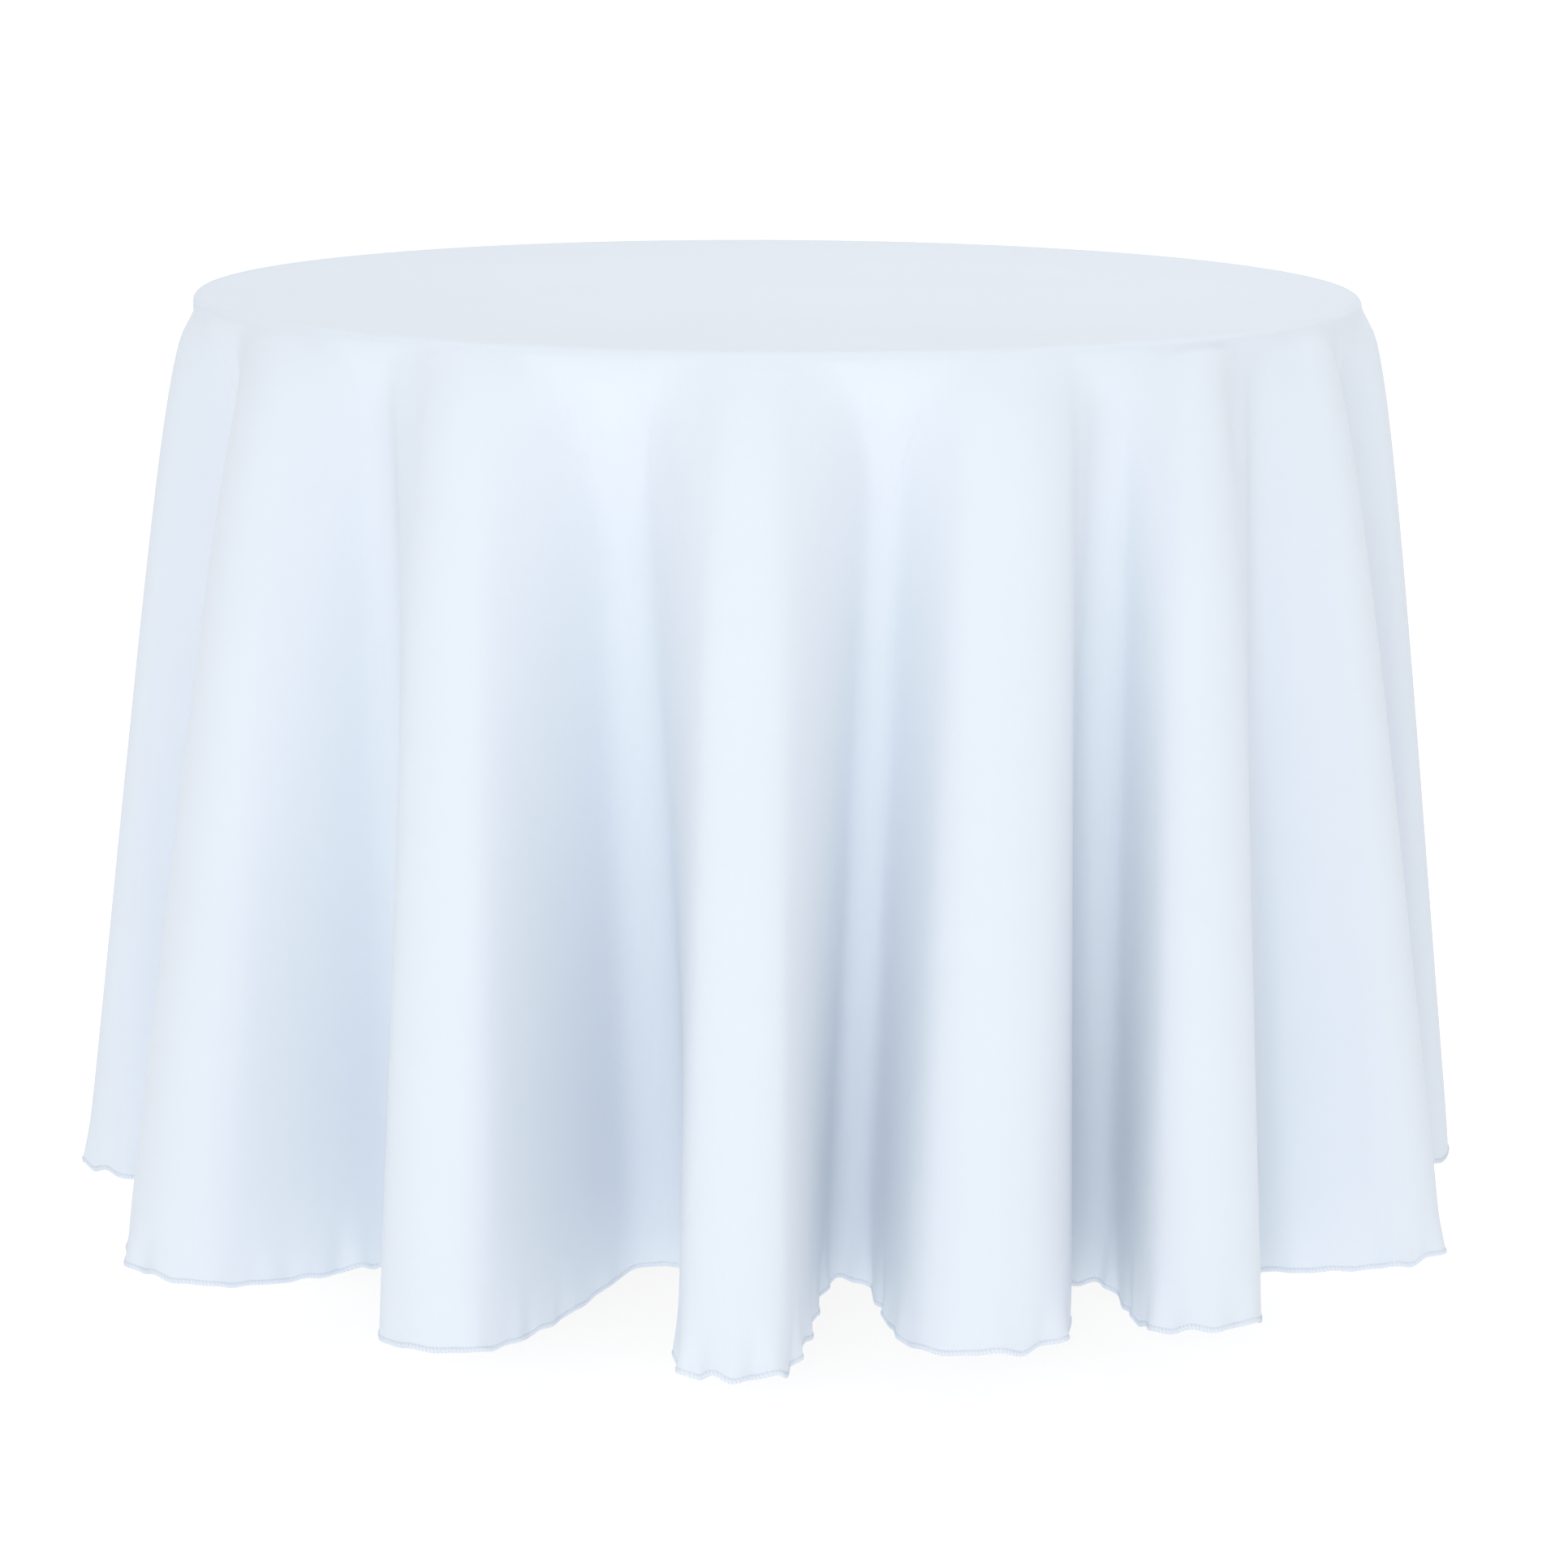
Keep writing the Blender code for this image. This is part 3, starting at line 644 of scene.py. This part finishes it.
def add_node(tree, kind, settings=None, **inputs):
    """A node's first output. Its inputs are values or other nodes' sockets, and _0 is the first."""
    made = tree.nodes.new(kind)
    for name, value in (settings or {}).items():
        setattr(made, name, value)
    for name, value in inputs.items():
        socket = made.inputs[int(name[1:]) if name[0] == "_" else name.replace("_", " ")]
        if isinstance(value, bpy.types.NodeSocket):
            tree.links.new(value, socket)
        else:
            socket.default_value = value
    return made.outputs[0]


def new_material(name, **finish):
    """A new material's node tree and shader. What is the same all over it is set on the shader."""
    material = bpy.data.materials.new(name)
    material.use_nodes = True
    tree = material.node_tree
    shader = tree.nodes["Principled BSDF"]
    for label, value in finish.items():
        shader.inputs[label.replace("_", " ")].default_value = value
    materials[name] = material
    return tree, shader


def scaled(tree, place, scale):
    return add_node(tree, "ShaderNodeMapping", _0=place, Scale=scale)


def coordinates(tree, scale=(1, 1, 1)):
    """Places on the object in metres, times scale."""
    return scaled(tree, tree.nodes.new("ShaderNodeTexCoord").outputs["Object"], scale)


def noise(tree, vector, scale, detail=2.0):
    return add_node(tree, "ShaderNodeTexNoise", Vector=vector, Scale=scale, Detail=detail)


def ramp(tree, value, source, target=(0.0, 1.0)):
    """The source range of a value spread over the target range, and kept within it."""
    ends = {"_1": source[0], "_2": source[1], "_3": target[0], "_4": target[1]}
    return add_node(tree, "ShaderNodeMapRange", _0=value, **ends)


def between(tree, factor, low, high):
    """A noise spread over low to high."""
    return ramp(tree, factor, NOISE_RANGE, (low, high))


def blend_colours(tree, factor, first, second):
    mix = tree.nodes.new("ShaderNodeMix")
    mix.data_type = "RGBA"
    tree.links.new(factor, mix.inputs["Factor"])
    for socket, value in ((mix.inputs[6], first), (mix.inputs[7], second)):
        if isinstance(value, bpy.types.NodeSocket):
            tree.links.new(value, socket)
        else:
            socket.default_value = (*value, 1)
    return mix.outputs[2]


def add_bump(tree, shader, *layers):
    """Bumps from (height, distance in metres) layers, one over the other."""
    normal = None
    for height, distance in layers:
        inputs = {"Height": height, "Distance": distance}
        if normal is not None:
            inputs["Normal"] = normal
        normal = add_node(tree, "ShaderNodeBump", **inputs)
    tree.links.new(normal, shader.inputs["Normal"])


def tinted(colour, factor):
    return tuple(min(1.0, part * factor) for part in colour)


def threads(tree, vector, pitch, direction):
    """Even ridges across one direction, a pitch apart."""
    settings = {"wave_type": "BANDS", "bands_direction": direction}
    return add_node(tree, "ShaderNodeTexWave", settings, Vector=vector, Scale=math.pi / 10 / pitch)


def cloth_material():
    """Plain weave in spun yarn, matte and a little fuzzy. The weave follows the flat cloth."""
    tree, shader = new_material(
        "cloth", Sheen_Weight=0.15, Sheen_Roughness=0.5, Specular_IOR_Level=0.25
    )
    flat_place = tree.nodes.new("ShaderNodeAttribute")
    flat_place.attribute_name = FLAT_PLACE
    place = flat_place.outputs["Vector"]
    warp = threads(tree, place, WEAVE_PITCH, "X")
    weft = threads(tree, place, WEAVE_PITCH, "Y")
    weave = add_node(tree, "ShaderNodeMath", {"operation": "MULTIPLY"}, _0=warp, _1=weft)
    slub_warp = noise(tree, scaled(tree, place, (1400, 22, 1)), 1.0)
    slub_weft = noise(tree, scaled(tree, place, (22, 1400, 1)), 1.0)
    slubs = add_node(tree, "ShaderNodeMath", {"operation": "ADD"}, _0=slub_warp, _1=slub_weft)
    crumple = noise(tree, place, 22.0, 3.0)
    pale = between(tree, noise(tree, place, 5.0, 4.0), 0.0, 1.0)
    ground = blend_colours(tree, pale, tinted(CLOTH_COLOUR, 0.992), tinted(CLOTH_COLOUR, 1.008))
    yarn = between(tree, slubs, 0.0, 0.12)
    colour = blend_colours(tree, yarn, ground, tinted(CLOTH_COLOUR, 0.9))
    tree.links.new(colour, shader.inputs["Base Color"])
    tree.links.new(between(tree, slub_warp, 0.84, 0.94), shader.inputs["Roughness"])
    add_bump(tree, shader, (crumple, 0.0010), (slubs, 0.00005), (weave, 0.00008))


def thread_material():
    """Textured polyester thread: fine fibres along the winding."""
    tree, shader = new_material(
        "edge_thread", Roughness=0.75, Sheen_Weight=0.2, Specular_IOR_Level=0.3
    )
    fibres = noise(tree, coordinates(tree), 2500.0, 3.0)
    patches = between(tree, noise(tree, coordinates(tree), 30.0), 0, 1)
    colour = blend_colours(tree, patches, tinted(THREAD_COLOUR, 0.96), THREAD_COLOUR)
    tree.links.new(colour, shader.inputs["Base Color"])
    add_bump(tree, shader, (fibres, 0.0001))


def label_material():
    """Woven satin tape."""
    tree, shader = new_material("label", Roughness=0.42, Sheen_Weight=0.3)
    place = coordinates(tree)
    floats = threads(tree, place, 0.0006, "Z")
    cloudy = between(tree, noise(tree, place, 60.0), 0, 1)
    colour = blend_colours(tree, cloudy, (0.84, 0.84, 0.82), (0.88, 0.88, 0.86))
    tree.links.new(colour, shader.inputs["Base Color"])
    add_bump(tree, shader, (floats, 0.00008))


def wood_material(name, pale, dark, stretch, ring_scale, coat):
    """Wood along X: growth rings, a fibrous streak and short dark pores, under lacquer."""
    tree, shader = new_material(name, Coat_Weight=coat, Coat_Roughness=0.25)
    grain_place = coordinates(tree, stretch)
    drift = noise(tree, grain_place, 3.0, 3.0)
    settings = {"wave_type": "RINGS", "rings_direction": "X"}
    figure = {"Scale": ring_scale, "Distortion": 7.0, "Detail": 3.0}
    rings = add_node(tree, "ShaderNodeTexWave", settings, Vector=grain_place, **figure)
    fibres = noise(tree, coordinates(tree, (6, 400, 400)), 1.0, 4.0)
    pores = noise(tree, coordinates(tree, (45, 1500, 1500)), 1.0, 1.0)
    ground = blend_colours(tree, between(tree, drift, 0, 1), pale, tinted(pale, 0.86))
    ringed = blend_colours(tree, between(tree, rings, 0, 0.55), ground, dark)
    fibred = blend_colours(tree, between(tree, fibres, 0, 0.3), ringed, tinted(dark, 0.8))
    is_pore = ramp(tree, pores, (0.66, 0.74), (0.0, 0.55))
    colour = blend_colours(tree, is_pore, fibred, tinted(dark, 0.45))
    tree.links.new(colour, shader.inputs["Base Color"])
    tree.links.new(between(tree, fibres, 0.42, 0.6), shader.inputs["Roughness"])
    add_bump(tree, shader, (fibres, 0.00015), (is_pore, -0.0002))


def moulding_material():
    """Extruded vinyl: a faint leather grain and scuffs that have gone pale."""
    tree, shader = new_material("moulding")
    place = coordinates(tree)
    grain = add_node(tree, "ShaderNodeTexVoronoi", Vector=place, Scale=900.0)
    scuffs = noise(tree, coordinates(tree, (12, 12, 260)), 1.0, 6.0)
    worn = ramp(tree, scuffs, (0.62, 0.72), (0.0, 0.6))
    colour = blend_colours(tree, worn, (0.10, 0.09, 0.08), (0.26, 0.25, 0.24))
    tree.links.new(colour, shader.inputs["Base Color"])
    tree.links.new(between(tree, scuffs, 0.38, 0.6), shader.inputs["Roughness"])
    add_bump(tree, shader, (grain, 0.00012))


def frame_material():
    """Hammered powder coat: smooth dimples, darker on their rims, with dust in the hollows."""
    tree, shader = new_material("frame", Metallic=0.35, Coat_Weight=0.25, Coat_Roughness=0.18)
    place = coordinates(tree)
    settings = {"feature": "SMOOTH_F1"}
    dimples = {"Scale": 420.0, "Smoothness": 0.6}
    cells = add_node(tree, "ShaderNodeTexVoronoi", settings, Vector=place, **dimples)
    fine = noise(tree, place, 1600.0, 3.0)
    broad = noise(tree, place, 14.0, 4.0)
    hollow = ramp(tree, cells, (0.15, 0.6))
    coated = blend_colours(tree, hollow, (0.20, 0.21, 0.22), (0.12, 0.13, 0.14))
    colour = blend_colours(tree, between(tree, broad, 0.0, 0.25), coated, (0.24, 0.24, 0.23))
    tree.links.new(colour, shader.inputs["Base Color"])
    tree.links.new(between(tree, broad, 0.30, 0.46), shader.inputs["Roughness"])
    add_bump(tree, shader, (cells, 0.0006), (fine, 0.00004))


def hardware_material():
    """Bright zinc plate: faint crystals, brushing and a duller bloom."""
    tree, shader = new_material("hardware", Metallic=1.0)
    place = coordinates(tree)
    crystals = add_node(tree, "ShaderNodeTexVoronoi", Vector=place, Scale=500.0).node
    tone = add_node(tree, "ShaderNodeSeparateColor", _0=crystals.outputs["Color"])
    bloom = noise(tree, place, 90.0, 4.0)
    plated = blend_colours(tree, tone, (0.58, 0.59, 0.61), (0.68, 0.69, 0.70))
    colour = blend_colours(tree, between(tree, bloom, 0.0, 0.5), plated, (0.50, 0.51, 0.52))
    tree.links.new(colour, shader.inputs["Base Color"])
    tree.links.new(between(tree, bloom, 0.22, 0.42), shader.inputs["Roughness"])
    brushed = noise(tree, coordinates(tree, (300, 300, 6000)), 1.0)
    add_bump(tree, shader, (brushed, 0.00003))


def foot_material():
    """Moulded rubber with a fine spark texture, scuffed pale where it meets the floor."""
    tree, shader = new_material("foot")
    place = coordinates(tree)
    spark = noise(tree, place, 1800.0, 4.0)
    scuffs = noise(tree, place, 220.0, 5.0)
    height = add_node(tree, "ShaderNodeSeparateXYZ", _0=place).node.outputs["Z"]
    low = ramp(tree, height, (0.0, 0.012), (0.9, 0.0))
    scuffed = between(tree, scuffs, 0.0, 1.0)
    worn = add_node(tree, "ShaderNodeMath", {"operation": "MULTIPLY"}, _0=low, _1=scuffed)
    colour = blend_colours(tree, worn, (0.04, 0.04, 0.04), (0.16, 0.155, 0.15))
    tree.links.new(colour, shader.inputs["Base Color"])
    tree.links.new(between(tree, scuffs, 0.62, 0.82), shader.inputs["Roughness"])
    add_bump(tree, shader, (spark, 0.00012))


def floor_material():
    """A pale matt sweep that is lit from behind."""
    _, shader = new_material(
        "floor", Roughness=0.9, Specular_IOR_Level=0.0, Emission_Strength=FLOOR_GLOW
    )
    shader.inputs["Base Color"].default_value = (*FLOOR_COLOUR, 1)
    shader.inputs["Emission Color"].default_value = (1, 1, 1, 1)


# CAD nodes


def smooth_by_angle():
    """Nodes that shade a surface smooth except across its sharp edges."""
    group = bpy.data.node_groups.new("smooth_by_angle", "GeometryNodeTree")
    for way in ("INPUT", "OUTPUT"):
        group.interface.new_socket("Geometry", in_out=way, socket_type="NodeSocketGeometry")
    start = group.nodes.new("NodeGroupInput")
    end = group.nodes.new("NodeGroupOutput")
    angle = group.nodes.new("GeometryNodeInputMeshEdgeAngle")
    sharp = group.nodes.new("FunctionNodeCompare")
    sharp.operation = "GREATER_THAN"
    group.links.new(angle.outputs["Unsigned Angle"], sharp.inputs[0])
    sharp.inputs[1].default_value = SHARP_ANGLE
    normals = group.nodes.new("GeometryNodeSetMeshNormal")
    normals.mode = "SHARPNESS"
    group.links.new(start.outputs[0], normals.inputs["Mesh"])
    group.links.new(sharp.outputs[0], normals.inputs["Edge Sharpness"])
    group.links.new(normals.outputs[0], end.inputs[0])
    return group


def finish_nodes():
    """Each CAD node that shows gets its slot's material, eased edges and smooth round surfaces."""
    smooth = smooth_by_angle()
    for part in frame["record"]["subparts"]:
        node = frame["nodes"][part["node"]]
        slot = part["material_slot"]
        node.material_slots[0].material = materials[slot]
        weld = node.modifiers.new("weld", "WELD")
        weld.merge_threshold = WELD_DISTANCE
        bevel = node.modifiers.new("eased_edges", "BEVEL")
        bevel.width = EASED_EDGE.get(slot, EASED_EDGE_ELSEWHERE)
        bevel.segments = EASED_EDGE_STEPS
        bevel.limit_method = "ANGLE"
        bevel.angle_limit = SHARP_ANGLE
        shading = node.modifiers.new("smooth", "NODES")
        shading.node_group = smooth


# Studio


def make_camera():
    camera_data = bpy.data.cameras.new("camera")
    camera_data.sensor_width = CAMERA_SENSOR
    camera_data.lens = CAMERA_LENS
    camera_data.shift_x = CAMERA_SHIFT
    camera = bpy.data.objects.new("camera", camera_data)
    camera.location = CAMERA_PLACE
    camera.rotation_euler = (math.radians(CAMERA_PITCH), math.radians(CAMERA_ROLL), 0)
    link_to_scene(camera)
    bpy.context.scene.camera = camera
    bpy.context.scene.view_settings.view_transform = "Standard"


def make_floor():
    floor_mesh = bpy.data.meshes.new("floor")
    corners = [(x * FLOOR_HALF, y * FLOOR_HALF, 0) for x, y in ((-1, -1), (1, -1), (1, 1), (-1, 1))]
    floor_mesh.from_pydata(corners, [], [(0, 1, 2, 3)])
    floor_mesh.materials.append(materials["floor"])
    floor = bpy.data.objects.new("floor", floor_mesh)
    link_to_scene(floor)


def make_sky():
    """A white sky that dims a little from the horizon up."""
    world = bpy.data.worlds.new("studio")
    world.use_nodes = True
    tree = world.node_tree
    place = tree.nodes.new("ShaderNodeTexCoord").outputs["Generated"]
    height = add_node(tree, "ShaderNodeSeparateXYZ", _0=place).node.outputs["Z"]
    light = ramp(tree, height, SKY_HEIGHTS, (HORIZON_LIGHT, ZENITH_LIGHT))
    background = tree.nodes["Background"]
    tree.links.new(light, background.inputs["Strength"])
    background.inputs["Color"].default_value = (1, 1, 1, 1)
    bpy.context.scene.world = world


def make_light(name, place, size, power):
    """A round soft light that looks at the middle of the object."""
    light_data = bpy.data.lights.new(name, "AREA")
    light_data.shape = "DISK"
    light_data.size = size
    light_data.energy = power
    light = bpy.data.objects.new(name, light_data)
    light.location = place
    towards = Vector((0, 0, CLOTH_TOP / 2)) - light.location
    light.rotation_euler = towards.to_track_quat("-Z", "Y").to_euler()
    link_to_scene(light)


cloth_material()
thread_material()
label_material()
wood_material("plywood", (0.66, 0.48, 0.29), (0.52, 0.34, 0.18), (0.5, 3.0, 3.0), 5.0, 0.35)
wood_material("runner", (0.58, 0.41, 0.25), (0.44, 0.29, 0.16), (0.35, 9.0, 9.0), 7.0, 0.1)
moulding_material()
frame_material()
hardware_material()
foot_material()
floor_material()
finish_nodes()

cloth_points, cloth_places = draped_grid()
tablecloth = make_cloth(cloth_points, cloth_places)
on_the_cloth = make_overlock(cloth_points)
on_the_cloth.append(make_label(cloth_points, cloth_places))

make_camera()
make_floor()
make_sky()
for light in LIGHTS:
    make_light(*light)
